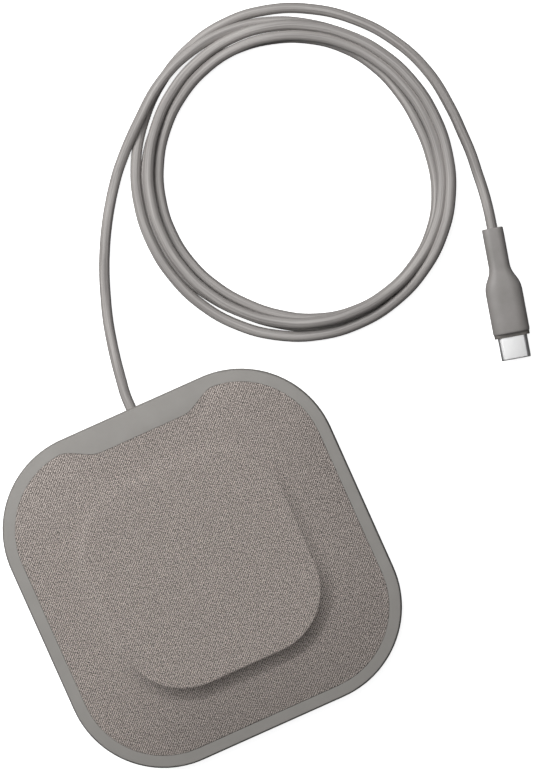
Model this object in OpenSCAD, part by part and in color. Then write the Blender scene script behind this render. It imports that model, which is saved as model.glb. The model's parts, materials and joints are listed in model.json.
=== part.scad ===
// Wireless charging pad: a rounded square puck with a fabric top, a raised charging
// platform over the coil, and a captive lead that ends in a USB-C plug.
// The pad stands on z = 0, centred on x = 0, y = 0. +Y is the side the lead leaves from.

/* [Pad] */
// Length of each side of the pad
pad_side = 98; // [94:1:104]
// Corner radius of the pad, seen from above
pad_corner = 27.5; // [26:0.5:29]
// Height of the plastic rim above the table
rim_height = 9.2; // [9.2:0.1:11]
// Width of the bare plastic rim around the fabric
rim_width = 3.6; // [3:0.1:4.5]
// How far the rim slopes down from the fabric to its outer edge
rim_fall = 0.3; // [0:0.1:0.6]
// Width of the steep edge between the rim and the side
edge_width = 0.45; // [0.2:0.05:0.8]
// Height of that edge
edge_height = 1.5; // [0.5:0.1:2.5]

/* [Fabric] */
// Thickness of the fabric laminate
fabric_t = 0.6; // [0.4:0.1:0.8]
// Half width of the straight part of the bare band behind the fabric
band_half = 12.3; // [8:0.1:14]
// Depth of the bare band, from the rear edge to the fabric
band_depth = 7.8; // [6:0.1:9]

/* [Charging platform] */
// Half width of the platform where it starts to rise
platform_half = 33.4; // [32:0.1:35]
// Corner radius of the platform where it starts to rise
platform_corner = 22.3; // [18:0.1:24]
// Width of the slope around the platform
slope_width = 4.5; // [4:0.1:5.5]
// Height of the platform above the fabric, at its rear edge
rear_rise = 0.8; // [0.8:0.1:1.4]
// Height of the platform above the fabric, at its front edge
front_rise = 3; // [2.4:0.1:3.6]

/* [Casing] */
// Height of the joint between the base and the cover
joint_z = 4.6; // [4.4:0.1:4.8]
// Thickness of the side walls
wall_t = 2; // [1.6:0.1:2.2]
// Thickness of the base floor
floor_t = 1.6; // [1.4:0.1:1.6]
// Gap between the table and the base, bridged by the foot ring
foot_gap = 0.8; // [0.6:0.1:0.8]

/* [Lead] */
// Diameter of the lead
cord_d = 3; // [2.8:0.1:3.2]
// Centre of the coiled lead, from the pad's centre
coil_centre = [68.2, 89.3];
// Inner and outer radius of the coiled lead
coil_radii = [36, 49.5];

/* [Plug] */
// Width of the plug's grip
grip_w = 10.4; // [9.8:0.1:11]
// Thickness of the plug's grip
grip_t = 5.8; // [5:0.1:6.5]
// Length of the plug's grip, neck and shoulder together
grip_l = 30; // [28:0.5:34]

/* [Hidden] */
$fn = 64;
arc_steps = 6;
pad_half = pad_side / 2;
corner_c = pad_half - pad_corner;
floor_top = foot_gap + floor_t;
recess_z = rim_height - fabric_t;
deck_t = 1.5;
deck_z = recess_z - deck_t;
platform_y = -0.3;
top_half = platform_half - slope_width;
platform_tilt = atan((front_rise - rear_rise) / (2 * top_half));
cavity_half = 27;
cavity_top = 8.7;
fabric_corner = pad_corner - rim_width;
fabric_gap = 0.2;
lobe_half = 24;

lip_t = 0.9;
lip_h = 0.9;

foot_inner = 16;
foot_outer = 20;
foot_groove = 0.6;

screw_xy = 34.2;
screw_d = 2;
screw_head_d = 3.6;
screw_head_h = floor_t - foot_groove;
screw_reach = joint_z + 2;
boss_d = 6;

board_z = 4.7;
board_t = 1.2;
board_x = 30;
board_y = 27.5;
board_screw = [26, 19];
board_screw_d = 1.6;
board_boss_d = 4.4;

foam_half = 20;
foam_t = 0.6;
ferrite_half = 24;
ferrite_corner = 8;
ferrite_z = board_z + board_t + foam_t;
ferrite_t = 0.8;
coil_z = ferrite_z + ferrite_t;
wire_d = 1.2;
wire_pitch = 1.05;
turns = 11;
winding_r = 10.5;
lead_wire_d = 0.8;
lead_x = [3, -6];
lead_end_y = -25.6;

cord_z = joint_z;
grommet_d = 4.2;
clamp_y = 38;
clamp_size = [14, 4, 1.8];
clamp_screw_x = 5;
cord_inner_end = 33;
wire_ends = [-6, -2, 2, 6];
hookup_d = 0.6;

plug_at = [113.3, 53.7, grip_t / 2];
plug_turn = 166.4;
neck_w = 6;
neck_t = 4.4;
neck_l = 11.7;
shoulder_l = 4.3;
collar_w = 10;
collar_t = 3.6;
collar_l = 1;
shell_w = 8.3;
shell_t = 2.5;
shell_wall = 0.3;
shell_l = 6.3;
shell_hidden = 3;
insulator_l = 3.6;
contact_count = 12;
contact_pitch = 0.5;

// The lead's centre line where it isn't coiled. It runs out level, sinks to the table
// and climbs over the last turn of the coil.
pad_lead_route = [
    [0, 49, 4.6], [0.1, 53, 4.6], [0.8, 58.1, 4.2], [1.6, 63.2, 3.4], [2.7, 68.7, 2.5],
    [4.2, 74.7, 1.8], [6.2, 80.7, 1.5], [8.5, 86.7, 1.5], [11.3, 92.7, 1.5],
    [14.5, 98.5, 1.5], [18.2, 104.2, 1.6], [22.1, 109.4, 1.8], [24.5, 112.2, 2]
];
plug_lead_route = [
    [116.7, 81.2, 1.5], [116.6, 75.7, 1.5], [116, 69.7, 1.6], [115.35, 64, 2.2],
    [114.45, 58.9, 2.8], [113.3, 53.7, 2.9]
];
cord_sides = 8;

// ---- shared shapes ----

// A flat square with round corners
module rounded_square(half, r) {
    square([2 * half, 2 * (half - r)], center = true);
    square([2 * (half - r), 2 * half], center = true);
    for (x = [-1, 1], y = [-1, 1])
        translate([x * (half - r), y * (half - r)]) circle(r);
}

// A rounded square plate between two heights
module slab(half, r, z0, z1) {
    translate([0, 0, z0]) linear_extrude(z1 - z0) rounded_square(half, r);
}

// Sweeps a profile around a rounded square whose corners turn about (c, c).
// The profile's x is the distance from the corner's centre.
module swept_square(c, profile) {
    for (turn = [0:90:270])
        rotate([0, 0, turn]) {
            translate([c, c, 0]) rotate_extrude(angle = 90) polygon(profile);
            translate([c, c, 0]) rotate([90, 0, 0]) linear_extrude(2 * c) polygon(profile);
        }
}

// The same, filled in the middle up to the profile's own inner edge
module swept_block(c, profile, z0, z1) {
    swept_square(c, profile);
    translate([-c, -c, z0]) cube([2 * c, 2 * c, z1 - z0]);
}

// Points of an arc
function arc(cx, cy, r, a0, a1, n = arc_steps) =
    [for (i = [0:n]) let (a = a0 + (a1 - a0) * i / n) [cx + r * cos(a), cy + r * sin(a)]];

// Outer profile of the base: a flat bottom, a rounded lower edge and an upright wall
function base_profile(round) = concat(
    [[0, foot_gap]],
    arc(pad_corner - round, foot_gap + round, round, -90, 0),
    [[pad_corner, joint_z], [0, joint_z]]
);

// Outer profile of the cover: an upright wall, a steep edge and a sloping rim
function cover_profile() = [
    [0, joint_z], [pad_corner, joint_z],
    [pad_corner, rim_height - rim_fall - edge_height],
    [pad_corner - 0.7 * edge_width, rim_height - rim_fall - 0.35 * edge_height],
    [pad_corner - edge_width, rim_height - rim_fall - 0.1],
    [pad_corner - edge_width - 0.15, rim_height - rim_fall],
    [pad_corner - rim_width - 0.6, rim_height], [0, rim_height]
];

// The platform raised on a level. Its top is flat and tilts up towards the front.
module platform(z, shrink = 0) {
    top = top_half - shrink;
    plate_t = 0.2;
    translate([0, platform_y, 0]) hull() {
        slab(platform_half - shrink + 0.15, platform_corner - shrink, z - 0.2, z - 0.1);
        translate([0, 0, z + (front_rise + rear_rise) / 2 - plate_t])
            rotate([-platform_tilt, 0, 0])
                slab(top, platform_corner - slope_width - shrink, 0, plate_t);
    }
}

// The rear edge of the fabric from the corner in to the bare band, on the +X side
function fabric_rear(inset) = [for (i = [0:10])
    let (
        x = lobe_half + (band_half - lobe_half) * i / 10,
        r = fabric_corner - inset,
        edge = corner_c + sqrt(r * r - pow(max(x - corner_c, 0), 2))
    )
    [x, edge + (rim_width - band_depth) * (1 - cos(180 * i / 10)) / 2]
];

function mirrored(points) = [for (i = [len(points) - 1:-1:0]) [-points[i][0], points[i][1]]];

// Outline of the fabric: a rounded square that steps back behind the lead's exit
module fabric_outline(inset) {
    r = fabric_corner - inset;
    polygon(concat(
        arc(corner_c, -corner_c, r, -90, 0, 12),
        arc(corner_c, corner_c, r, 0, 82, 12),
        fabric_rear(inset),
        mirrored(fabric_rear(inset)),
        arc(-corner_c, corner_c, r, 98, 180, 12),
        arc(-corner_c, -corner_c, r, 180, 270, 12)
    ));
}

// A straight round rod between two points
module rod(from, to, d, fn = 24) {
    run = to - from;
    translate(from)
        rotate([0, acos(run[2] / norm(run)), atan2(run[1], run[0])])
            cylinder(h = norm(run), d = d, $fn = fn);
}

// Repeats a part at the four corners of a rectangle
module at_corners(x, y) {
    for (sx = [-1, 1], sy = [-1, 1]) translate([sx * x, sy * y, 0]) children();
}

// ---- casing ----

module base_shell() {
    color("#a8a5a1") difference() {
        union() {
            difference() {
                swept_block(corner_c, base_profile(2), foot_gap, joint_z);
                slab(pad_half - wall_t, pad_corner - wall_t, floor_top, joint_z + 1);
            }
            base_lip();
            at_corners(screw_xy, screw_xy) base_boss(boss_d, joint_z);
            at_corners(board_screw[0], board_screw[1]) base_boss(board_boss_d, board_z);
            translate([-clamp_size[0] / 2, clamp_y - clamp_size[1] / 2, floor_top])
                cube([clamp_size[0], clamp_size[1], joint_z - floor_top]);
        }
        foot_recess();
        at_corners(screw_xy, screw_xy) base_screw_hole();
        at_corners(board_screw[0], board_screw[1])
            translate([0, 0, floor_top + 0.4]) cylinder(h = board_z, d = board_screw_d);
        for (x = [-clamp_screw_x, clamp_screw_x])
            translate([x, clamp_y, floor_top + 0.4]) cylinder(h = joint_z, d = board_screw_d);
        cord_tunnel();
    }
}

// A thin lip that locates the cover, broken where the lead passes
module base_lip() {
    lip_out = pad_corner - wall_t - 0.05;
    difference() {
        swept_square(corner_c, [
            [lip_out - lip_t, floor_top], [lip_out - lip_t, joint_z + lip_h],
            [lip_out, joint_z + lip_h], [lip_out, floor_top]
        ]);
        translate([-4, pad_half - 6, floor_top - 1]) cube([8, 6, joint_z]);
    }
}

module base_boss(d, top) {
    translate([0, 0, floor_top - 0.2]) cylinder(h = top - floor_top + 0.2, d = d);
}

module base_screw_hole() {
    cylinder(h = foot_gap + foot_groove + screw_head_h, d = screw_head_d + 0.4);
    cylinder(h = joint_z + 1, d = screw_d + 0.3);
}

// The groove that the foot ring is glued into
module foot_recess() {
    swept_square(corner_c, [
        [foot_inner, 0], [foot_outer, 0],
        [foot_outer, foot_gap + foot_groove], [foot_inner, foot_gap + foot_groove]
    ]);
}

// Room for the lead and its grommet through the rear wall and the clamp's rib
module cord_tunnel() {
    translate([0, pad_half + 1, cord_z]) rotate([90, 0, 0]) {
        cylinder(h = wall_t + 1.2, d = grommet_d);
        cylinder(h = pad_half - cord_inner_end, d = cord_d);
    }
}

module top_cover() {
    color("#a8a5a1") difference() {
        union() {
            difference() {
                union() {
                    difference() {
                        swept_block(corner_c, cover_profile(), joint_z, rim_height);
                        translate([0, 0, recess_z]) linear_extrude(2) fabric_outline(0);
                    }
                    platform(recess_z, 0.5);
                }
                slab(pad_half - wall_t, pad_corner - wall_t, joint_z - 1, deck_z);
                slab(cavity_half, platform_corner - (platform_half - cavity_half),
                    deck_z - 0.5, cavity_top);
            }
            at_corners(screw_xy, screw_xy)
                translate([0, 0, joint_z]) cylinder(h = deck_z + 0.2 - joint_z, d = boss_d);
        }
        at_corners(screw_xy, screw_xy)
            translate([0, 0, joint_z - 1]) cylinder(h = screw_reach + 1 - joint_z, d = screw_d);
        cord_tunnel();
    }
}

// The fabric laminate over the recess and the platform, of one even height
module fabric_top() {
    color("#918883") difference() {
        union() {
            translate([0, 0, recess_z]) linear_extrude(fabric_t) fabric_outline(fabric_gap);
            platform(rim_height);
        }
        platform(recess_z, 0.5);
    }
}

module foot_ring() {
    color("#55534f") swept_square(corner_c, [
        [foot_inner, foot_gap + foot_groove], [foot_inner, 0.3], [foot_inner + 0.3, 0],
        [foot_outer - 0.3, 0], [foot_outer, 0.3], [foot_outer, foot_gap + foot_groove]
    ]);
}

// A pan-head screw with a cross recess, standing head down
module pan_screw(d, head_d, head_h, l) {
    difference() {
        cylinder(h = head_h, d = head_d);
        for (turn = [0, 90])
            rotate([0, 0, turn]) translate([-head_d / 4, -0.2, -1])
                cube([head_d / 2, 0.4, 1 + head_h / 2]);
    }
    translate([0, 0, head_h]) cylinder(h = l, d = d);
}

module base_screws() {
    head_z = foot_gap + foot_groove;
    color("#c9c9cc") at_corners(screw_xy, screw_xy) translate([0, 0, head_z])
        pan_screw(screw_d, screw_head_d, screw_head_h, screw_reach - head_z - screw_head_h);
}

// ---- electronics ----

module main_board() {
    color("#1f6b3f") difference() {
        translate([-board_x, -board_y, board_z]) cube([2 * board_x, 2 * board_y, board_t]);
        at_corners(board_screw[0], board_screw[1])
            translate([0, 0, board_z - 1]) cylinder(h = board_t + 2, d = board_screw_d + 0.3);
    }
}

module board_screws() {
    color("#c9c9cc") at_corners(board_screw[0], board_screw[1])
        translate([0, 0, board_z + board_t + 0.7]) mirror([0, 0, 1])
            pan_screw(board_screw_d, 2.8, 0.7, 3);
}

module foam_pad() {
    color("#3c3c3e") slab(foam_half, 3, board_z + board_t, ferrite_z);
}

// The ferrite behind the coil, slotted for the winding's inner end
module ferrite_plate() {
    color("#2b2b2d") difference() {
        slab(ferrite_half, ferrite_corner, ferrite_z, coil_z);
        translate([lead_x[0] - 0.7, -ferrite_half - 1, ferrite_z - 1])
            cube([1.4, ferrite_half + 1 - 7.8, ferrite_t + 2]);
    }
}

// A flat spiral of copper litz wire, bonded into one disc
module charging_coil() {
    color("#b5652f") translate([0, 0, coil_z + wire_d / 2]) rotate_extrude()
        for (i = [0:turns - 1])
            translate([winding_r + wire_d / 2 + i * wire_pitch, 0]) circle(d = wire_d, $fn = 24);
}

// The winding's two ends, down to the board
module coil_leads() {
    inner_z = ferrite_z + lead_wire_d / 2;
    outer_z = coil_z + lead_wire_d / 2;
    pad_z = board_z + board_t;
    color("#c97f45") {
        rod([lead_x[0], -9.2, inner_z], [lead_x[0], lead_end_y, inner_z], lead_wire_d);
        rod([lead_x[0], -9.2, inner_z - lead_wire_d / 2], [lead_x[0], -9.2, outer_z], lead_wire_d);
        rod([lead_x[0], lead_end_y, pad_z], [lead_x[0], lead_end_y, inner_z + 0.4], lead_wire_d);
        rod([lead_x[1], -22.6, outer_z], [lead_x[1], lead_end_y, outer_z], lead_wire_d);
        rod([lead_x[1], lead_end_y, pad_z], [lead_x[1], lead_end_y, outer_z + 0.4], lead_wire_d);
    }
}

// A bead thermistor at the middle of the winding
module thermistor() {
    color("#20242c") translate([0, 0, coil_z]) cylinder(h = 1, d = 2.6, $fn = 32);
    color("#c9c9cc") for (x = [-0.5, 0.5])
        translate([x, 0, coil_z + 0.5]) rotate([-90, 0, 0]) cylinder(h = 6, d = 0.3, $fn = 16);
}

// A part soldered under the board, with the given size, centred on a place
module under_board(x, y, size) {
    translate([x - size[0] / 2, y - size[1] / 2, board_z - size[2]]) cube(size);
}

module controller_chip() {
    color("#1a1a1c") under_board(0, 4, [5, 5, 0.9]);
}

module power_mosfets() {
    color("#1a1a1c") for (x = [-9, 9], y = [-4, 2]) under_board(x, y - 6, [3.3, 3.3, 0.9]);
}

module resonant_capacitors() {
    color("#c8b79a") for (i = [0:3]) under_board(-7.2 + i * 4.8, -21, [3.2, 2.5, 1.6]);
}

module bulk_capacitors() {
    color("#c8b79a") for (i = [0:3]) under_board(-16, 8 + i * 3, [3.2, 1.6, 1.6]);
}

module filter_inductor() {
    color("#4a4a4c") difference() {
        under_board(14, 14, [6, 6, 2]);
        translate([14, 14, board_z - 3]) cylinder(h = 1.3, d = 3.4);
    }
}

// ---- lead inside the pad ----

// A rubber grommet in the rear wall, held by its inner flange
module cord_grommet() {
    color("#8f8b86") translate([0, 0, cord_z]) rotate([-90, 0, 0]) difference() {
        union() {
            translate([0, 0, pad_half - wall_t - 1.2]) cylinder(h = 1.2, d = grommet_d);
            translate([0, 0, pad_half - wall_t]) cylinder(h = wall_t, d = grommet_d);
        }
        translate([0, 0, pad_half - wall_t - 2]) cylinder(h = wall_t + 3, d = cord_d);
    }
}

module cord_clamp() {
    color("#e8e6e2") difference() {
        translate([-clamp_size[0] / 2, clamp_y - clamp_size[1] / 2, joint_z])
            cube(clamp_size);
        cord_tunnel();
        for (x = [-clamp_screw_x, clamp_screw_x])
            translate([x, clamp_y, joint_z - 1]) cylinder(h = 4, d = board_screw_d + 0.3);
    }
}

module clamp_screws() {
    color("#c9c9cc") for (x = [-clamp_screw_x, clamp_screw_x])
        translate([x, clamp_y, joint_z + clamp_size[2] + 0.6]) mirror([0, 0, 1])
            pan_screw(board_screw_d, 2.8, 0.6, 3.2);
}

module cord_inner() {
    color("#96918c") translate([0, pad_half, cord_z]) rotate([90, 0, 0])
        cylinder(h = pad_half - cord_inner_end, d = cord_d);
}

// Four insulated wires from the end of the lead's jacket to the board
module cord_wires() {
    wire_z = board_z + board_t + hookup_d / 2;
    color("#b03a34") for (i = [0:3])
        let (
            start = [(i - 1.5) * 0.7, cord_inner_end - 0.2, cord_z + 0.3],
            rise = [0.4 * wire_ends[i], board_y + 1.6, wire_z],
            pad = [wire_ends[i], board_y - 2, wire_z]
        ) {
            rod(start, rise, hookup_d, 16);
            translate(rise) sphere(d = hookup_d + 0.25, $fn = 32);
            rod(rise, pad, hookup_d, 16);
        }
}

// ---- free lead ----

// Unit vector along a route at one of its points
function along(route, i) =
    let (step = route[min(i + 1, len(route) - 1)] - route[max(i - 1, 0)]) step / norm(step);

// One ring of points around a route, square to it
function ring(route, i) =
    let (
        run = along(route, i),
        side = cross(run, [0, 0, 1]) / norm(cross(run, [0, 0, 1])),
        up = cross(side, run)
    )
    [for (k = [0:cord_sides - 1])
        let (a = 360 * (k + 0.5) / cord_sides)
        route[i] + cord_d / 2 * (cos(a) * side + sin(a) * up)];

module cord_tube(route) {
    last = len(route) - 1;
    points = [for (i = [0:last]) each ring(route, i)];
    walls = [for (i = [0:last - 1], k = [0:cord_sides - 1])
        let (a = i * cord_sides + k, b = i * cord_sides + (k + 1) % cord_sides)
        [a, b, b + cord_sides, a + cord_sides]];
    start = [for (k = [cord_sides - 1:-1:0]) k];
    end = [for (k = [0:cord_sides - 1]) last * cord_sides + k];
    polyhedron(points, concat([start, end], walls), convexity = 4);
}

module cord_pad_lead() {
    color("#96918c") cord_tube(pad_lead_route);
}

// The outer shape of the coiled lead, two layers high
module cord_coil() {
    edge = cord_d / 2;
    color("#96918c") translate([coil_centre[0], coil_centre[1], 0]) rotate_extrude($fn = 96)
        polygon(concat(
            arc(coil_radii[0] + edge, edge, edge, 180, 270, 3),
            arc(coil_radii[1] - edge, edge, edge, -90, 0, 3),
            arc(coil_radii[1] - edge, 2 * cord_d - edge, edge, 0, 90, 3),
            arc(coil_radii[0] + edge, 2 * cord_d - edge, edge, 90, 180, 3)
        ));
}

module cord_plug_lead() {
    color("#96918c") cord_tube(plug_lead_route);
}

// ---- plug ----

// Places a part whose +Y runs from the lead to the plug's mouth
module at_plug() {
    translate(plug_at) rotate([0, 0, plug_turn]) children();
}

// A bar along +Y with a long round section
module oval_bar(y, l, w, t) {
    translate([0, y, 0]) rotate([-90, 0, 0]) linear_extrude(l) {
        square([w - t, t], center = true);
        for (x = [-1, 1]) translate([x * (w - t) / 2, 0]) circle(d = t, $fn = 32);
    }
}

module plug_grip() {
    body_y = neck_l + shoulder_l;
    color("#96918c") at_plug() difference() {
        union() {
            oval_bar(0, neck_l, neck_w, neck_t);
            hull() {
                oval_bar(neck_l - 0.1, 0.1, neck_w, neck_t);
                oval_bar(body_y, 0.1, grip_w, grip_t);
            }
            oval_bar(body_y, grip_l - body_y, grip_w, grip_t);
        }
        translate([-shell_w / 2 + 0.6, body_y + 2, -1.2])
            cube([shell_w - 1.2, grip_l - shell_hidden - body_y - 2 + 0.01, 2.4]);
        oval_bar(grip_l - shell_hidden, shell_hidden + 1, shell_w, shell_t);
    }
}

// The inner mould that shows as a step between the grip and the shell
module plug_collar() {
    color("#8b8782") at_plug() difference() {
        oval_bar(grip_l, collar_l, collar_w, collar_t);
        oval_bar(grip_l - 1, collar_l + 2, shell_w, shell_t);
    }
}

module plug_shell() {
    color("#d5d6d8") at_plug() difference() {
        oval_bar(grip_l - shell_hidden, shell_hidden + collar_l + shell_l, shell_w, shell_t);
        oval_bar(grip_l - shell_hidden - 1, shell_hidden + collar_l + shell_l + 2,
            shell_w - 2 * shell_wall, shell_t - 2 * shell_wall);
    }
}

// The black moulding that fills the back of the shell and carries the contacts
module plug_insulator() {
    color("#1c1c1e") at_plug()
        oval_bar(grip_l - shell_hidden, insulator_l, shell_w - 2 * shell_wall,
            shell_t - 2 * shell_wall);
}

// Two facing rows of contact springs
module plug_contacts() {
    y = grip_l - shell_hidden + insulator_l;
    color("#d8b25a") at_plug() for (i = [0:contact_count - 1], z = [-0.85, 0.6])
        translate([(i - (contact_count - 1) / 2) * contact_pitch - 0.12, y, z])
            cube([0.24, 4.6, 0.25]);
}

module plug_board() {
    color("#1f6b3f") at_plug()
        translate([-3, neck_l + shoulder_l + 2.4, -0.4])
            cube([6, grip_l - shell_hidden - neck_l - shoulder_l - 2.4, 0.8]);
}

base_shell();
top_cover();
fabric_top();
foot_ring();
base_screws();
main_board();
board_screws();
foam_pad();
ferrite_plate();
charging_coil();
coil_leads();
thermistor();
controller_chip();
power_mosfets();
resonant_capacitors();
bulk_capacitors();
filter_inductor();
cord_grommet();
cord_clamp();
clamp_screws();
cord_inner();
cord_wires();
cord_pad_lead();
cord_coil();
cord_plug_lead();
plug_grip();
plug_collar();
plug_shell();
plug_insulator();
plug_contacts();
plug_board();
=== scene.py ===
import json
import math
import bpy
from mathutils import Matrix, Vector


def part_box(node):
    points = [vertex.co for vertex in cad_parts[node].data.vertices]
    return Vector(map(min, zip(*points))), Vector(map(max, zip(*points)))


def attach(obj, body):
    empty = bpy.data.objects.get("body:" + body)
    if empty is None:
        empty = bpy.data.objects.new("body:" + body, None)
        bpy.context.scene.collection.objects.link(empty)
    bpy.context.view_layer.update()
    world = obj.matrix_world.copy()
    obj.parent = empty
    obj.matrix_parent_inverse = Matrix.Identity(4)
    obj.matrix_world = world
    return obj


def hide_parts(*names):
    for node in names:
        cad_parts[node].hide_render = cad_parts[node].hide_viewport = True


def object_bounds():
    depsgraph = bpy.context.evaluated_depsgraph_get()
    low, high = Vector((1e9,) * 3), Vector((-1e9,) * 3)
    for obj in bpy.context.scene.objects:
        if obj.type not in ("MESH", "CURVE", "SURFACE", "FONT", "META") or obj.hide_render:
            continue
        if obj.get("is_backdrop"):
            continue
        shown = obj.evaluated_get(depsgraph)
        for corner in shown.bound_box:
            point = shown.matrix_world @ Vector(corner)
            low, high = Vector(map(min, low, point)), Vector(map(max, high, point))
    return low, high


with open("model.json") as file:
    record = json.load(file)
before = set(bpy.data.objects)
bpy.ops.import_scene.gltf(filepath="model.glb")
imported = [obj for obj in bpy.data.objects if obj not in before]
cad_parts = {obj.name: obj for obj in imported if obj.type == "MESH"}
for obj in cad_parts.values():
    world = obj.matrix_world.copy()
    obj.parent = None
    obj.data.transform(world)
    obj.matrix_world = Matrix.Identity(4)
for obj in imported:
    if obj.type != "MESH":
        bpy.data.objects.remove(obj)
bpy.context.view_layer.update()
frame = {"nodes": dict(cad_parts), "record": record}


# ---- Table, light and camera ----
# The pad lies on a white table, with a wide soft light low behind it and another overhead. It is
# looked at from straight above, turned so that its lead runs up and to the right.

MM = 0.001
cover_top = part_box("top_cover")[1].z
table_size = 6
view_turn = math.radians(24.14)
view_centre = (37.36 * MM, 39.43 * MM)
view_height = 214.44 * MM
view_distance = 0.9

camera = bpy.data.objects.new("camera", bpy.data.cameras.new("camera"))
bpy.context.scene.collection.objects.link(camera)
camera.data.lens = camera.data.sensor_width * view_distance / view_height
camera.location = (*view_centre, cover_top + view_distance)
camera.rotation_euler = (0, 0, -view_turn)
bpy.context.scene.camera = camera
bpy.context.scene.view_settings.view_transform = "Standard"


def softbox(name, bearing, height, reach, width, depth, power):
    """A soft light, bearing degrees clockwise from the pad's rear, aimed at the pad."""
    light = bpy.data.lights.new(name, "AREA")
    light.shape = "RECTANGLE"
    light.size = width
    light.size_y = depth
    light.energy = power
    lamp = bpy.data.objects.new(name, light)
    bpy.context.scene.collection.objects.link(lamp)
    turn = math.radians(bearing)
    away = Vector((reach * math.sin(turn), reach * math.cos(turn), height))
    lamp.location = away
    lamp.rotation_euler = away.to_track_quat("Z", "Y").to_euler()


softbox("key", bearing=-22, height=0.42, reach=0.42, width=0.7, depth=0.25, power=3.9)
softbox("overhead", bearing=0, height=1.2, reach=0.2, width=0.7, depth=0.7, power=4.0)

world = bpy.data.worlds.new("studio")
bpy.context.scene.world = world
world.use_nodes = True
world.node_tree.nodes["Background"].inputs["Color"].default_value = (1, 1, 1, 1)
world.node_tree.nodes["Background"].inputs["Strength"].default_value = 0.08


def srgb(red, green, blue):
    """A colour given as 0 to 255 screen values, for a shader."""
    def linear(v):
        v = v / 255
        return v / 12.92 if v <= 0.04045 else ((v + 0.055) / 1.055) ** 2.4
    return (linear(red), linear(green), linear(blue), 1)


class Value:
    """One output in a finish. Arithmetic on values adds the Math nodes that work it out."""

    def __init__(self, finish, socket):
        self.finish = finish
        self.socket = socket

    def math(self, operation, *others):
        return self.finish.node("ShaderNodeMath", {"operation": operation}, self, *others)

    def __add__(self, other):
        return self.math("ADD", other)

    def __sub__(self, other):
        return self.math("SUBTRACT", other)

    def __mul__(self, other):
        return self.math("MULTIPLY", other)

    def __truediv__(self, other):
        return self.math("DIVIDE", other)

    def __rsub__(self, other):
        return self.finish.node("ShaderNodeMath", {"operation": "SUBTRACT"}, other, self)

    __radd__ = __add__
    __rmul__ = __mul__


class Finish:
    """A material built up in code around one Principled shader."""

    def __init__(self, name, color, roughness, **sockets):
        self.material = bpy.data.materials.new(name)
        self.material.use_nodes = True
        self.tree = self.material.node_tree
        self.shader = self.tree.nodes["Principled BSDF"]
        self.shader.inputs["Base Color"].default_value = color
        self.shader.inputs["Roughness"].default_value = roughness
        for socket, value in sockets.items():
            self.shader.inputs[socket.replace("_", " ")].default_value = value

    def put(self, socket, value):
        """Feeds a socket from a value, or sets it to a number or colour."""
        if isinstance(value, Value):
            self.tree.links.new(value.socket, socket)
        else:
            socket.default_value = value

    def node(self, kind, settings, *values, output=0, **named):
        """Adds a node: its settings first, then its sockets in order or by name."""
        node = self.tree.nodes.new(kind)
        for setting, value in settings.items():
            if setting == "stops":
                for stop in value[2:]:
                    node.color_ramp.elements.new(stop[0])
                for element, (place, color) in zip(node.color_ramp.elements, value):
                    element.position = place
                    element.color = color
            else:
                setattr(node, setting, value)
        for socket, value in zip(node.inputs, values):
            self.put(socket, value)
        for socket, value in named.items():
            self.put(node.inputs[socket.replace("_", " ")], value)
        return Value(self, node.outputs[output])

    def place(self):
        """Where a point is on the object, in metres."""
        return self.node("ShaderNodeTexCoord", {}, output=3)

    def noise(self, size, detail=2, where=None):
        """Soft random values from 0 to 1, with patches of about the given size."""
        return self.node("ShaderNodeTexNoise", {}, Vector=where or self.place(),
                         Scale=1 / size, Detail=detail)

    def ramp(self, value, *stops):
        """Colours laid along a value from 0 to 1."""
        return self.node("ShaderNodeValToRGB", {"stops": stops}, value)

    def color(self, value):
        self.put(self.shader.inputs["Base Color"], value)

    def rough(self, value):
        self.put(self.shader.inputs["Roughness"], value)

    def relief(self, height, depth, strength=1):
        """Raises the surface by height times depth, as light and shade."""
        bump = self.node("ShaderNodeBump", {}, Strength=strength, Distance=depth, Height=height)
        self.put(self.shader.inputs["Normal"], bump)


def paint(piece, finish):
    """Gives a piece one finish all over."""
    piece.data.materials.clear()
    piece.data.materials.append(finish.material)


table_paint = Finish("table_paint", srgb(246, 246, 246), 0.6,
                     Emission_Color=srgb(255, 255, 255), Emission_Strength=0.8)
bpy.ops.mesh.primitive_plane_add(size=table_size, location=(*view_centre, 0))
table = bpy.context.object
table.name = "table"
paint(table, table_paint)
table.visible_diffuse = False
table.visible_glossy = False
table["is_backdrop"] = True


# ---- Lead ----
# A soft round lead, 3 mm thick, runs out of the pad's rear edge, sinks to the table and climbs
# over its own last turn into a coil of four loose turns, then runs on to the plug.

cord_d = 3 * MM
coil_centre = Vector((68.2 * MM, 89.3 * MM, 0))
pad_lead_route = [
    (0, 49, 4.6), (0.1, 53, 4.6), (0.8, 58.1, 4.2), (1.6, 63.2, 3.4), (2.7, 68.7, 2.5),
    (4.2, 74.7, 1.8), (6.2, 80.7, 1.5), (8.5, 86.7, 1.5), (11.3, 92.7, 1.5),
    (14.5, 98.5, 1.5), (18.2, 104.2, 1.6), (22.1, 109.4, 1.8), (24.5, 112.2, 2),
]
plug_lead_route = [
    (116.7, 81.2, 1.5), (116.6, 75.7, 1.5), (116, 69.7, 1.6), (115.35, 64, 2.2),
    (114.45, 58.9, 2.8), (113.3, 53.7, 2.9),
]

# How far out each turn lies, in mm, at eight spokes 45 degrees apart. The first spoke points
# to the rear left, and the turns run clockwise.
turn_spokes = [
    46.4, 45.4, 42.9, 42.4, 42.8, 42.9, 40.4, 42.1,
    41.4, 40, 39.4, 38.1, 41.2, 40.9, 37.75, 37.7,
    38.65, 39.8, 40.15, 40.65, 42, 41.25, 40.45, 40.3,
    41.45, 42.95, 42.8, 43.1, 44.5, 44.75, 44.15, 43.95,
    45.3, 47.9, 47.95, 48.4,
]

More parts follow.
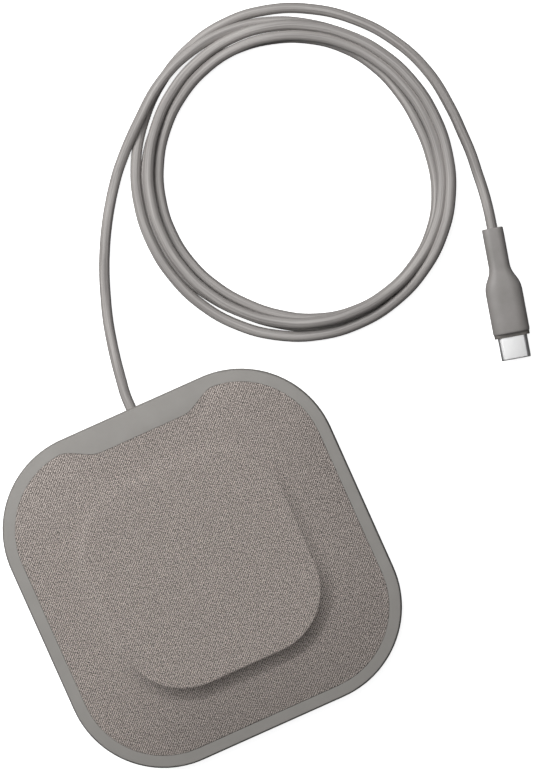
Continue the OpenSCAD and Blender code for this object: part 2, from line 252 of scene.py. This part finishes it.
# Between spokes the coil is worked out in small steps. The first few cross over the last turn,
# and the others lie on the turns laid before them, pressed in a little where they touch.
spokes_per_turn = 8
steps = 3
per_turn = spokes_per_turn * steps
full_turns = 4
first_spoke = 135
crossing_end = 4
contact = 0.9 * cord_d
sag = 0.12 * MM
settle_rounds = 60


def turn_radius(step):
    """How far out the lead lies at a step, on a smooth line through the spokes."""
    spoke, part = divmod(step, steps)
    t = part / steps
    last = len(turn_spokes) - 1
    a, b, c, d = (turn_spokes[min(max(spoke + k, 0), last)] for k in (-1, 0, 1, 2))
    bend = 2 * a - 5 * b + 4 * c - d + t * (3 * b - a - 3 * c + d)
    return MM * (b + t * (c - a + t * bend) / 2)


def rest_height(step, radii, heights):
    """How high the lead must lie at a step to rest on the table and on the turns below it."""
    need = cord_d / 2
    first, last = crossing_end, step
    if step < crossing_end:
        first, last = per_turn * full_turns, len(radii)
    for below in range(step % per_turn, last, per_turn):
        aside = abs(radii[step] - radii[below])
        if first <= below and below != step and aside < contact:
            need = max(need, heights[below] + math.sqrt(contact ** 2 - aside ** 2))
    return need


def coil_points():
    """The coil's centre line. Each turn settles on those laid before it, and the lead's first
    steps lie on its last turn."""
    count = steps * (len(turn_spokes) - 1) + 1
    radii = [turn_radius(step) for step in range(count)]
    heights = [cord_d / 2] * count
    for settle in range(settle_rounds):
        for step in range(count):
            before = heights[step - 1] if step else 2 * MM
            after = heights[min(step + 1, count - 1)]
            heights[step] = max(rest_height(step, radii, heights), (before + after) / 2 - sag)
    points = []
    for step in range(count):
        angle = math.radians(first_spoke - 360 * step / per_turn)
        across, back = radii[step] * math.cos(angle), radii[step] * math.sin(angle)
        points.append(coil_centre + Vector((across, back, heights[step])))
    return points


def cord_curve(name, points, diameter):
    """A round cord along one smooth open line."""
    curve = bpy.data.curves.new(name, "CURVE")
    curve.dimensions = "3D"
    curve.bevel_depth = diameter / 2
    curve.bevel_resolution = 5
    curve.resolution_u = 6
    curve.use_fill_caps = True
    line = curve.splines.new("BEZIER")
    line.bezier_points.add(len(points) - 1)
    for knot, point in zip(line.bezier_points, points):
        knot.co = point
        knot.handle_left_type = "AUTO"
        knot.handle_right_type = "AUTO"
    piece = bpy.data.objects.new(name, curve)
    bpy.context.scene.collection.objects.link(piece)
    return piece


# The lead's own UV runs from end to end, so the streaks follow the jacket round the coil.
jacket = Finish("cord_jacket", srgb(141, 139, 136), 0.5)
jacket_uv = jacket.node("ShaderNodeTexCoord", {}, output=2)
along_jacket = jacket.node("ShaderNodeMapping", {}, jacket_uv, Scale=(43, 17, 1))
streak = jacket.node("ShaderNodeTexNoise", {}, Vector=along_jacket, Scale=1, Detail=2)
jacket.color(jacket.ramp(streak, (0.3, srgb(126, 122, 120)), (0.7, srgb(169, 165, 162))))
jacket_grain = jacket.noise(0.25 * MM, 3)
jacket.rough(0.45 + 0.15 * jacket_grain)
jacket.relief(jacket_grain, 0.03 * MM, 0.6)

lead_points = [
    *(MM * Vector(p) for p in pad_lead_route),
    *coil_points(),
    *(MM * Vector(p) for p in plug_lead_route),
]
lead = cord_curve("lead", lead_points, cord_d)
lead.data.materials.append(jacket.material)
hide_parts("cord_pad_lead", "cord_coil", "cord_plug_lead")
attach(lead, "root")


# ---- Plug ----
# The lead ends in a USB-C plug: a soft grip moulded over a small board and a drawn steel
# shell, with a narrower collar between them.

plug_mount = next(m for m in frame["record"]["mounts"] if m["name"] == "usb_c_plug")
plug_length = 37.3 * MM
weld = 0.002 * MM


def start_fresh():
    """Leaves edit mode and selects nothing."""
    if bpy.context.object and bpy.context.object.mode != "OBJECT":
        bpy.ops.object.mode_set(mode="OBJECT")
    bpy.ops.object.select_all(action="DESELECT")


def edit(piece, kind="EDGE"):
    """Opens a piece for editing, with nothing in it selected."""
    start_fresh()
    piece.select_set(True)
    bpy.context.view_layer.objects.active = piece
    bpy.ops.object.mode_set(mode="EDIT")
    bpy.ops.mesh.select_mode(type=kind)
    bpy.ops.mesh.select_all(action="DESELECT")
    bpy.ops.object.mode_set(mode="OBJECT")
    return piece.data


def pick_edges(piece, wanted):
    """Selects the edges whose ends both pass a test, ready for an edit."""
    mesh = edit(piece)
    found = [wanted(v.co) for v in mesh.vertices]
    for edge in mesh.edges:
        if found[edge.vertices[0]] and found[edge.vertices[1]]:
            edge.select = True
            for v in edge.vertices:
                mesh.vertices[v].select = True
    bpy.ops.object.mode_set(mode="EDIT")


def tidy_mesh(piece, smooth_below=40):
    """Merges doubles, turns all faces outwards and shades smooth across shallow edges."""
    edit(piece)
    bpy.ops.object.mode_set(mode="EDIT")
    bpy.ops.mesh.select_all(action="SELECT")
    bpy.ops.mesh.remove_doubles(threshold=weld)
    bpy.ops.mesh.normals_make_consistent(inside=False)
    bpy.ops.object.mode_set(mode="OBJECT")
    bpy.ops.object.shade_smooth_by_angle(angle=math.radians(smooth_below))
    piece.select_set(False)


def apply_modifiers(piece):
    start_fresh()
    bpy.context.view_layer.objects.active = piece
    for modifier in list(piece.modifiers):
        bpy.ops.object.modifier_apply(modifier=modifier.name)


def drawn(name, width, thickness, corner, start):
    """Opens a new moulding on the plug: a flat section with round corners, ready to be drawn
    out along +Y."""
    start_fresh()
    bpy.ops.mesh.primitive_plane_add(size=1, location=(0, start * MM, 0),
                                     rotation=(math.pi / 2, 0, 0))
    piece = bpy.context.object
    piece.name = name
    piece.scale = (width * MM, thickness * MM, 1)
    bpy.ops.object.transform_apply(location=True, rotation=True, scale=True)
    bpy.ops.object.mode_set(mode="EDIT")
    bpy.ops.mesh.select_mode(type="VERT")
    bpy.ops.mesh.select_all(action="SELECT")
    bpy.ops.mesh.bevel(offset=corner * MM, segments=10, affect="VERTICES")
    bpy.ops.mesh.select_mode(type="FACE")
    bpy.ops.mesh.select_all(action="SELECT")
    return piece


def draw_on(was, *stations):
    """Draws the section on from where it was through stations, each its place along, its width
    and its thickness, in mm."""
    for along, width, thickness in stations:
        bpy.ops.mesh.extrude_region_move(
            TRANSFORM_OT_translate={"value": (0, (along - was[0]) * MM, 0)})
        bpy.ops.transform.resize(value=(width / was[1], 1, thickness / was[2]),
                                 center_override=(0, along * MM, 0))
        was = (along, width, thickness)


def set_on_plug(piece, slot, finish, *nodes):
    """Closes a moulding and sets it where the plug lies."""
    bpy.ops.object.mode_set(mode="OBJECT")
    tip, way = Vector(plug_mount["pos_m"]), Vector(plug_mount["axis"]).normalized()
    piece.location = tip - plug_length * way
    piece.rotation_euler = (0, 0, math.atan2(-way.x, way.y))
    start_fresh()
    piece.select_set(True)
    bpy.ops.object.transform_apply(location=True, rotation=True, scale=True)
    tidy_mesh(piece)
    paint(piece, finish)
    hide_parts(*nodes)
    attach(piece, "root")


grip = drawn("grip_mould", 5.4, 3.8, 1.85, 0.3)
draw_on((0.3, 5.4, 3.8), (0, 5.5, 3.9), (0.02, 5.75, 4.15), (0.12, 5.92, 4.32), (0.3, 6, 4.4),
        (6, 6, 4.4), (10.7, 6, 4.4), (11.5, 6.12, 4.44), (12.3, 6.46, 4.55), (13.1, 7.05, 4.74),
        (13.9, 7.85, 4.98), (14.7, 8.7, 5.24), (15.5, 9.45, 5.47), (16.3, 9.95, 5.64),
        (17.1, 10.25, 5.74), (18.1, 10.4, 5.8), (24, 10.4, 5.8), (29.3, 10.4, 5.8),
        (29.6, 10.35, 5.75), (29.85, 10.2, 5.6), (29.97, 9.95, 5.35), (30, 9.6, 5.0),
        (30, 8.0, 3.0))

mould = Finish("plug_mould", srgb(138, 134, 131), 0.5)
mould_patches = mould.noise(4 * MM, 3)
mould.color(mould.ramp(mould_patches, (0.3, srgb(135, 132, 129)), (0.7, srgb(143, 139, 137))))
mould_grain = mould.noise(0.2 * MM, 3)
mould.rough(0.42 + 0.16 * mould_grain)
mould.relief(mould_grain, 0.03 * MM, 0.6)
set_on_plug(grip, "plug_mould", mould, "plug_grip")

collar = drawn("grip_collar", 9.8, 3.4, 1.65, 29.2)
draw_on((29.2, 9.8, 3.4), (29.3, 10, 3.6), (30.8, 10, 3.6), (30.95, 9.9, 3.5), (31, 9.7, 3.3),
        (31, 8.4, 2.6), (30.8, 8.3, 2.5))
collar_mould = Finish("plug_collar_mould", srgb(112, 108, 104), 0.5)
collar_mould.relief(collar_mould.noise(0.2 * MM, 3), 0.02 * MM, 0.5)
set_on_plug(collar, "plug_mould", collar_mould, "plug_collar")

shell = drawn("drawn_shell", 8.3, 2.5, 1.22, 28)
draw_on((28, 8.3, 2.5), (36.9, 8.3, 2.5), (37.1, 8.26, 2.46), (37.25, 8.14, 2.34),
        (37.3, 8.0, 2.2), (37.25, 7.8, 2.0), (37.1, 7.7, 1.9), (30.6, 7.7, 1.9))
steel = Finish("shell_steel", srgb(228, 228, 228), 0.3, Metallic=1.0)
brush = steel.node("ShaderNodeMapping", {}, steel.place(), Scale=(900, 900, 9000))
brushing = steel.node("ShaderNodeTexNoise", {}, Vector=brush, Scale=2, Detail=3)
steel.rough(0.34 + 0.2 * brushing)
set_on_plug(shell, "shell_steel", steel, "plug_shell")

insulator = Finish("insulator", srgb(30, 30, 32), 0.45)
insulator.relief(insulator.noise(0.15 * MM, 2), 0.01 * MM)
gold = Finish("gold", srgb(222, 186, 110), 0.25, Metallic=1.0)
gold.rough(0.2 + 0.15 * gold.noise(0.1 * MM, 2))
board_green = Finish("board", srgb(34, 96, 62), 0.4)
board_mask = board_green.noise(1.2 * MM, 4)
board_green.color(board_green.ramp(board_mask, (0.35, srgb(26, 82, 50)),
                                   (0.6, srgb(40, 108, 70))))
paint(frame["nodes"]["plug_insulator"], insulator)
paint(frame["nodes"]["plug_contacts"], gold)
paint(frame["nodes"]["plug_board"], board_green)


# ---- Casing ----
# The pad's body is a base tray and a cover, both moulded in the same warm grey plastic with a
# fine matt grain. They meet halfway up the upright side in a fine groove, and four screws hold
# them from below, hidden by a rubber ring.

joint_z = 4.6 * MM
rim_height = 9.2 * MM
pad_straight = 21.5 * MM
pad_corner = 27.5 * MM
groove = 0.22 * MM
level = 0.01 * MM


def from_cad(name, node):
    """A piece of the same shape as a CAD node, as a clean mesh."""
    piece = bpy.data.objects.new(name, frame["nodes"][node].data.copy())
    bpy.context.scene.collection.objects.link(piece)
    piece.data.materials.clear()
    edit(piece)
    bpy.ops.object.mode_set(mode="EDIT")
    bpy.ops.mesh.select_all(action="SELECT")
    bpy.ops.mesh.remove_doubles(threshold=weld)
    bpy.ops.mesh.dissolve_limited(angle_limit=math.radians(0.5))
    bpy.ops.object.mode_set(mode="OBJECT")
    return piece


def cut_groove(piece):
    """Takes the sharp outer edge off a half of the casing, all round where it meets the other."""
    def on_joint(point):
        across = max(abs(point.x) - pad_straight, 0)
        along = max(abs(point.y) - pad_straight, 0)
        outside = Vector((across, along)).length > pad_corner - 0.2 * MM
        return outside and abs(point.z - joint_z) < level

    pick_edges(piece, on_joint)
    bpy.ops.mesh.bevel(offset=groove, segments=2)
    start_fresh()


def even_shading(piece, smooth_below=35):
    """Shades smooth, with the flat faces kept flat."""
    start_fresh()
    piece.select_set(True)
    bpy.context.view_layer.objects.active = piece
    bpy.ops.object.shade_smooth_by_angle(angle=math.radians(smooth_below))
    even = piece.modifiers.new("even", "WEIGHTED_NORMAL")
    even.keep_sharp = True
    even.weight = 90
    apply_modifiers(piece)


plastic = Finish("casing", srgb(140, 137, 133), 0.5)
plastic_patches = plastic.noise(5 * MM, 3)
plastic.color(plastic.ramp(plastic_patches, (0.3, srgb(139, 136, 132)), (0.7, srgb(143, 140, 136))))
plastic_grain = plastic.noise(0.18 * MM, 3)
plastic.rough(0.44 + 0.16 * plastic_grain)
plastic.relief(plastic_grain, 0.02 * MM, 0.6)

base = from_cad("base_tray", "base_shell")
cut_groove(base)
even_shading(base)
paint(base, plastic)
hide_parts("base_shell")
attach(base, "root")

cover = from_cad("pad_cover", "top_cover")
cut_groove(cover)

# Over the bare band at the rear the cover falls evenly, all the way from the fabric to its edge.
band_front = 41.2 * MM
band_side = 24 * MM
band_fall = 0.3 / 7.2
band_blend = 3 * MM
band_level = 0.05 * MM
for vertex in cover.data.vertices:
    x, y, z = vertex.co
    if abs(z - rim_height) < band_level and y > band_front and abs(x) < band_side:
        vertex.co.z -= band_fall * (y - band_front) * min((band_side - abs(x)) / band_blend, 1)
even_shading(cover, 20)
paint(cover, plastic)
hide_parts("top_cover")
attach(cover, "root")

screw_steel = Finish("screw_steel", srgb(190, 191, 194), 0.35, Metallic=1.0)
screw_steel.rough(0.28 + 0.2 * screw_steel.noise(0.3 * MM, 2))
for name in ("base_screws", "board_screws", "clamp_screws"):
    paint(frame["nodes"][name], screw_steel)

rubber = Finish("foot_rubber", srgb(78, 76, 73), 0.8)
rubber_grain = rubber.noise(0.3 * MM, 4)
rubber.color(rubber.ramp(rubber_grain, (0.3, srgb(72, 70, 67)), (0.7, srgb(84, 82, 79))))
rubber.relief(rubber_grain, 0.04 * MM, 0.8)
ring = from_cad("rubber_foot", "foot_ring")
even_shading(ring)
paint(ring, rubber)
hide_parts("foot_ring")
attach(ring, "root")


# ---- Fabric ----
# One piece of twill, woven from mixed light and dark yarn and bonded to a thin foam, is
# stretched over the cover's platform, which tilts up towards the front. It is glued down, and
# cut to lie in the cover's recess.

platform_y = -0.3 * MM
platform_half = 33.4 * MM
platform_corner = 22.3 * MM
rear_rise = 0.8 * MM
front_rise = 3 * MM
fabric_gap = 0.2 * MM
fabric_half = 45.4 * MM - fabric_gap
fabric_corner = 23.9 * MM - fabric_gap
band_half = 12.3 * MM
lobe_half = 24 * MM
band_step = 4.2 * MM


def rear_edge(x):
    """How far the fabric's rear edge steps forward of its straight line, at a place across."""
    part = min(max((lobe_half - abs(x)) / (lobe_half - band_half), 0), 1)
    return band_step * (1 - math.cos(math.pi * part)) / 2


def to_edge(point):
    """Where a point of the platform's foot goes on the fabric's cut edge: round the same corner,
    or as far along the same side."""
    straight, wide = platform_half - platform_corner, fabric_half - fabric_corner
    out = []
    for v in (point.x, point.y - platform_y):
        if abs(v) < straight:
            out.append(v * wide / straight)
        else:
            round_part = (abs(v) - straight) * fabric_corner / platform_corner
            out.append(math.copysign(wide + round_part, v))
    if out[1] > 0:
        out[1] -= rear_edge(out[0])
    return (*out, point.z)


# The outline of the platform's foot comes first. Its copy is carried out to the fabric's cut
# edge, which then turns down over a small round into the recess.
rear_cuts = 63
cut_edge = ((0.03 * MM, 1.0012), (0.08 * MM, 1.0012), (0.44 * MM, 1))
start_fresh()
bpy.ops.mesh.primitive_plane_add(size=2 * platform_half, location=(0, platform_y, rim_height))
fabric = bpy.context.object
fabric.name = "twill_top"
bpy.ops.object.transform_apply(location=True)
bpy.ops.object.mode_set(mode="EDIT")
bpy.ops.mesh.select_mode(type="VERT")
bpy.ops.mesh.select_all(action="SELECT")
bpy.ops.mesh.bevel(offset=platform_corner, segments=24, affect="VERTICES")
pick_edges(fabric, lambda point: point.y - platform_y > platform_half - level)
bpy.ops.mesh.subdivide(number_cuts=rear_cuts)
bpy.ops.mesh.select_mode(type="EDGE")
bpy.ops.mesh.select_all(action="SELECT")
bpy.ops.mesh.extrude_edges_move(TRANSFORM_OT_translate={"value": (0, 0, 0)})
bpy.ops.object.mode_set(mode="OBJECT")
for vertex in fabric.data.vertices:
    if vertex.select:
        vertex.co = to_edge(vertex.co)
bpy.ops.object.mode_set(mode="EDIT")
for fall, grow in cut_edge:
    bpy.ops.mesh.extrude_edges_move(TRANSFORM_OT_translate={"value": (0, 0, -fall)})
    bpy.ops.transform.resize(value=(grow, grow, 1), center_override=(0, 0, rim_height))

# The slope leaves the flat at a shallow angle, hollows up to its steepest just below the edge,
# and turns over the edge in a tight round.
slope_width = 4.5 * MM
platform_round = 0.8 * MM
foot_angle = math.radians(23)
steepest = math.radians(52)
hollow_steps = 12
round_steps = 6
inner_ring = 3 * MM
reach = slope_width - platform_round * math.sin(steepest)
hollow = reach / (math.sin(steepest) - math.sin(foot_angle))
slope = []
for k in range(hollow_steps + 1):
    angle = foot_angle + (steepest - foot_angle) * k / hollow_steps
    slope.append((hollow * (math.sin(angle) - math.sin(foot_angle)),
                  hollow * (math.cos(foot_angle) - math.cos(angle))))
foot_rise = slope[-1][1]
for k in range(1, round_steps + 1):
    angle = steepest * (1 - k / round_steps)
    slope.append((slope_width - platform_round * math.sin(angle),
                  foot_rise + platform_round * (math.cos(angle) - math.cos(steepest))))
edit(fabric, "FACE")
max(fabric.data.polygons, key=lambda face: face.area).select = True
bpy.ops.object.mode_set(mode="EDIT")
for (near, low), (far, high) in zip(slope, slope[1:]):
    bpy.ops.mesh.inset(thickness=far - near, depth=high - low)
bpy.ops.mesh.inset(thickness=inner_ring, depth=0)
bpy.ops.object.mode_set(mode="OBJECT")

# The whole raised part is then scaled in height, from low at the rear to high at the front.
top_half = platform_half - slope_width
for vertex in fabric.data.vertices:
    if vertex.co.z > rim_height:
        back = (vertex.co.y - platform_y + top_half) / (2 * top_half)
        rise = front_rise + (rear_rise - front_rise) * back
        vertex.co.z = rim_height + (vertex.co.z - rim_height) * rise / slope[-1][1]
tidy_mesh(fabric, 30)

weave = Finish("fabric", srgb(128, 120, 116), 0.85, Sheen_Weight=0.15, Sheen_Roughness=0.5)
yarn = 0.265 * MM
weave_turn = math.radians(0.6)
twill_repeat = 3
yarns_over = 1.5
end_height = 0.6
laid = weave.node("ShaderNodeMapping", {}, weave.place(), Rotation=(0, 0, weave_turn))
pick = weave.node("ShaderNodeSeparateXYZ", {}, laid, output=0) / yarn
end = weave.node("ShaderNodeSeparateXYZ", {}, laid, output=1) / yarn


def fleck(ahead, aside):
    """How light the yarn is, at random, at a crossing some steps from this one."""
    cell = weave.node("ShaderNodeCombineXYZ", {}, pick.math("FLOOR") + ahead,
                      end.math("FLOOR") + aside, 0)
    return weave.node("ShaderNodeTexWhiteNoise", {"noise_dimensions": "3D"}, Vector=cell)


turn_of = (pick.math("FLOOR") - end.math("FLOOR")).math("FLOORED_MODULO", twill_repeat)
over = turn_of.math("LESS_THAN", yarns_over)
round_pick = 1 - (pick.math("FRACT") - 0.5).math("ABSOLUTE") * 2
round_end = 1 - (end.math("FRACT") - 0.5).math("ABSOLUTE") * 2
height = over * round_pick + (1 - over) * round_end * end_height

# Yarns that lie over are lighter, and light and dark yarns seldom lie side by side.
unlike = fleck(0, 0) - 0.42 * (fleck(1, 0) + fleck(0, 1))
tone = 0.52 * over + 0.6 * unlike - 0.02
weave.color(weave.ramp(tone, (0.0, srgb(38, 35, 33)), (1.0, srgb(226, 213, 205))))
weave.relief(height, 0.1 * MM, 0.8)
paint(fabric, weave)
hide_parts("fabric_top")
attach(fabric, "root")


# ---- Coil and its shield ----
# Under the platform a flat spiral of copper wire lies on a ferrite plate, on foam over the
# board. Its two ends run down to the board, and a thermistor sits at its middle.

copper = Finish("copper", srgb(190, 112, 66), 0.3, Metallic=1.0)
copper_strand = copper.noise(0.15 * MM, 3)
copper.color(copper.ramp(copper_strand, (0.3, srgb(170, 96, 54)), (0.7, srgb(206, 128, 80))))
copper.rough(0.25 + 0.2 * copper_strand)
for name in ("charging_coil", "coil_leads"):
    paint(frame["nodes"][name], copper)

ferrite = Finish("ferrite", srgb(44, 44, 46), 0.7)
ferrite_grain = ferrite.noise(0.2 * MM, 4)
ferrite.color(ferrite.ramp(ferrite_grain, (0.3, srgb(36, 36, 38)), (0.7, srgb(54, 54, 56))))
ferrite.relief(ferrite_grain, 0.02 * MM)
paint(frame["nodes"]["ferrite_plate"], ferrite)

foam = Finish("foam", srgb(58, 58, 60), 0.95)
foam_cells = foam.noise(0.4 * MM, 5)
foam.color(foam.ramp(foam_cells, (0.35, srgb(44, 44, 46)), (0.65, srgb(70, 70, 72))))
foam.relief(foam_cells, 0.2 * MM)
paint(frame["nodes"]["foam_pad"], foam)


# ---- Board ----
# The driver board stands on four posts. Its parts are soldered to its underside.

paint(frame["nodes"]["main_board"], board_green)

epoxy = Finish("chip", srgb(30, 30, 32), 0.55)
epoxy.rough(0.5 + 0.2 * epoxy.noise(0.1 * MM, 2))
epoxy.relief(epoxy.noise(0.1 * MM, 2), 0.01 * MM)
for name in ("controller_chip", "power_mosfets", "thermistor"):
    paint(frame["nodes"][name], epoxy)

ceramic = Finish("ceramic", srgb(196, 176, 146), 0.4)
ceramic_grain = ceramic.noise(0.5 * MM, 3)
ceramic.color(ceramic.ramp(ceramic_grain, (0.3, srgb(186, 166, 136)), (0.7, srgb(204, 184, 156))))
for name in ("resonant_capacitors", "bulk_capacitors"):
    paint(frame["nodes"][name], ceramic)

inductor = Finish("inductor", srgb(70, 70, 72), 0.6)
inductor.relief(inductor.noise(0.2 * MM, 3), 0.02 * MM)
paint(frame["nodes"]["filter_inductor"], inductor)


# ---- Lead inside the pad ----
# The lead passes a rubber grommet in the rear wall and is held by a nylon clamp under two
# screws. Its four wires run on to the board.

grommet = Finish("grommet", srgb(112, 108, 104), 0.6)
grommet.relief(grommet.noise(0.2 * MM, 3), 0.02 * MM)
paint(frame["nodes"]["cord_grommet"], grommet)

nylon = Finish("nylon", srgb(222, 219, 212), 0.45)
nylon_patches = nylon.noise(2 * MM, 3)
nylon.color(nylon.ramp(nylon_patches, (0.3, srgb(216, 213, 205)), (0.7, srgb(228, 225, 219))))
paint(frame["nodes"]["cord_clamp"], nylon)
paint(frame["nodes"]["cord_inner"], jacket)

wire = Finish("wire_red", srgb(168, 52, 46), 0.4)
wire.rough(0.35 + 0.15 * wire.noise(0.3 * MM, 2))
paint(frame["nodes"]["cord_wires"], wire)


low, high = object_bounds()
